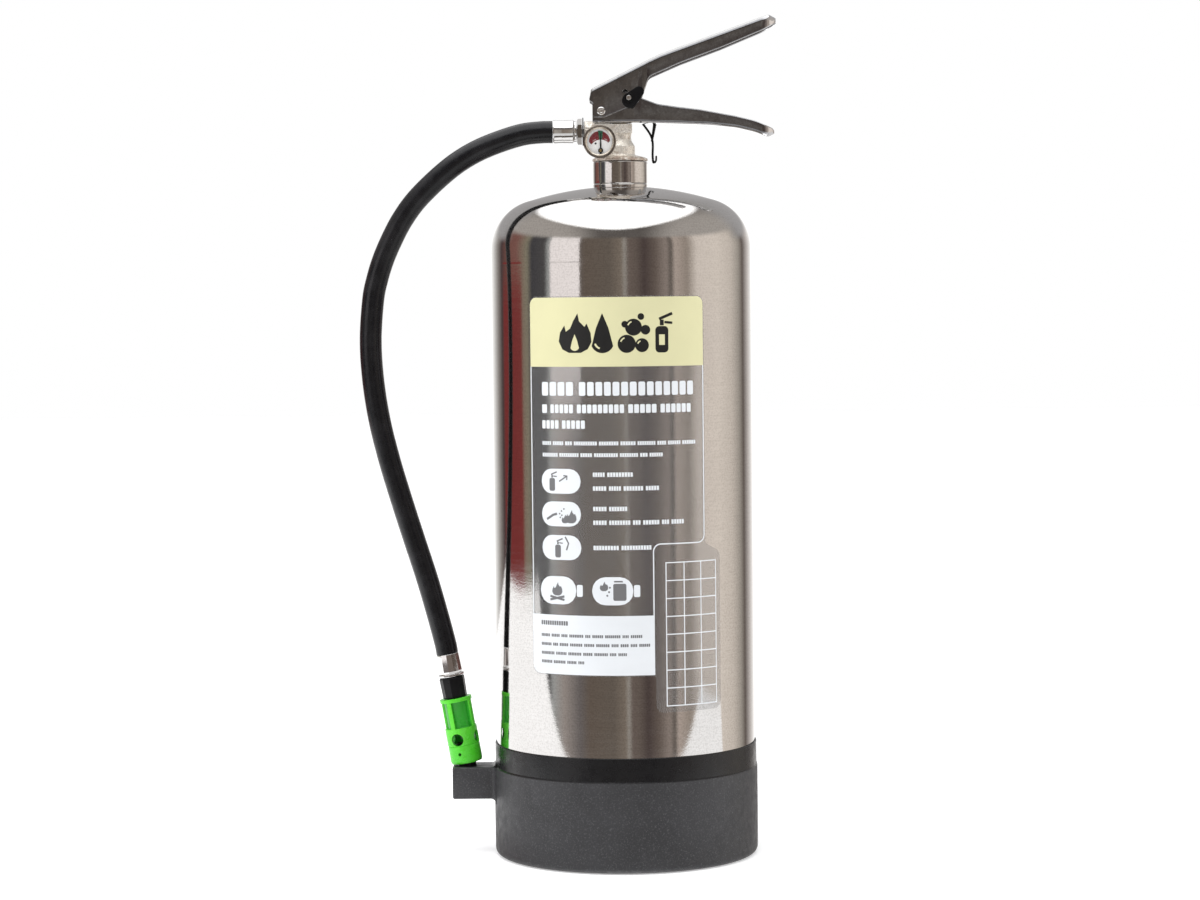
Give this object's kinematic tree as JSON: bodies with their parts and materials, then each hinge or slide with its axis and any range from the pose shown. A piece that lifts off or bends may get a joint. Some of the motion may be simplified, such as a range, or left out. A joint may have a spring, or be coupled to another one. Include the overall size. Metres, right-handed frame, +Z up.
{
  "type": "fire extinguisher",
  "caption": "Stainless foam fire extinguisher with squeeze lever, carry handle, pressure gauge, rubber hose, green foam nozzle and moulded boot.",
  "frame": {"origin": "on the cylinder's axis, at the boot's flat base", "axes": "+Z up along the cylinder's axis; +X towards the lever's and handle's tips; -Y the front, where the gauge faces"},
  "size_m": [0.2898, 0.183, 0.578],
  "materials": {
    "polished_stainless": "polished stainless steel with a faint drawn grain",
    "pressed_stainless": "pressed and tumbled stainless sheet",
    "plated_casting": "nickel plate over a rough brass casting",
    "bright_chrome": "bright plate",
    "plain_steel": "drawn steel wire and bar",
    "brass": "turned brass",
    "boot_plastic": "dark grey moulded plastic with a fine grain",
    "black_plastic": "black moulded plastic",
    "white_plastic": "natural white extruded plastic",
    "green_plastic": "bright green moulded plastic",
    "dial_print": "white dial with printed red and green sectors",
    "clear_lens": "clear plastic window",
    "seal_rubber": "black seal rubber",
    "hose_rubber": "smooth black hose rubber"
  },
  "bodies": {
    "root": {"cylinder_shell": "polished_stainless", "neck_collar": "polished_stainless", "base_boot": "boot_plastic", "valve_body": "plated_casting", "hose_nut": "plated_casting", "neck_o_ring": "seal_rubber", "stem_o_ring": "seal_rubber", "outlet_washer": "seal_rubber", "valve_spring": "plain_steel", "stem_gland_nut": "brass", "hose_tail": "brass", "gauge_bourdon_tube": "brass", "siphon_adaptor": "black_plastic", "siphon_strainer": "black_plastic", "siphon_tube": "white_plastic", "carry_handle": "pressed_stainless", "lever_pivot_rivet": "bright_chrome", "pin_retainer": "black_plastic", "tamper_seal": "black_plastic", "gauge_case": "bright_chrome", "gauge_bezel": "bright_chrome", "gauge_dial": "dial_print", "gauge_lens": "clear_lens", "hose_ferrule": "bright_chrome", "hose": "hose_rubber"},
    "lever": {"operating_lever": "pressed_stainless"},
    "stem": {"valve_stem": "plain_steel", "stem_seal": "seal_rubber"},
    "pin": {"safety_pin": "plain_steel"},
    "ring": {"pull_ring": "plain_steel"},
    "needle": {"gauge_needle": "black_plastic"},
    "nozzle": {"foam_nozzle": "green_plastic", "nozzle_jet": "brass", "nozzle_adaptor": "black_plastic", "nozzle_ferrule": "bright_chrome"}
  },
  "joints": [
    {"name": "lever_squeeze", "type": "hinge", "parent": "root", "child": "lever", "pos_m": [-0.0126, 0, 0.513], "axis": [0, 1, 0], "range_deg": [0, 12], "stiffness_Nm_per_rad": 3, "springref_deg": -5.73},
    {"name": "stem_travel", "type": "slide", "parent": "root", "child": "stem", "axis": [0, 0, -1], "range_m": [0, 0.0042], "deforming": ["valve_spring"]},
    {"name": "pin_pull", "type": "slide", "parent": "root", "child": "pin", "axis": [0, 1, 0], "range_m": [0, 0.045]},
    {"name": "ring_swing", "type": "hinge", "parent": "pin", "child": "ring", "pos_m": [0.0064, 0.0178, 0.5217], "axis": [0.2588, 0, -0.9659], "range_deg": [0, 180]},
    {"name": "needle_swing", "type": "hinge", "parent": "root", "child": "needle", "pos_m": [-0.0131, -0.0274, 0.4854], "axis": [0, 1, 0], "range_deg": [-55, 45], "stiffness_Nm_per_rad": 0.00002},
    {"name": "nozzle_lift", "type": "slide", "parent": "root", "child": "nozzle", "axis": [-0.1668, 0, 0.986], "range_m": [0, 0.035], "deforming": ["hose"]}
  ],
  "couplings": [
    {"joint": "stem_travel", "follows": "lever_squeeze", "m_per_rad": 0.0185}
  ]
}
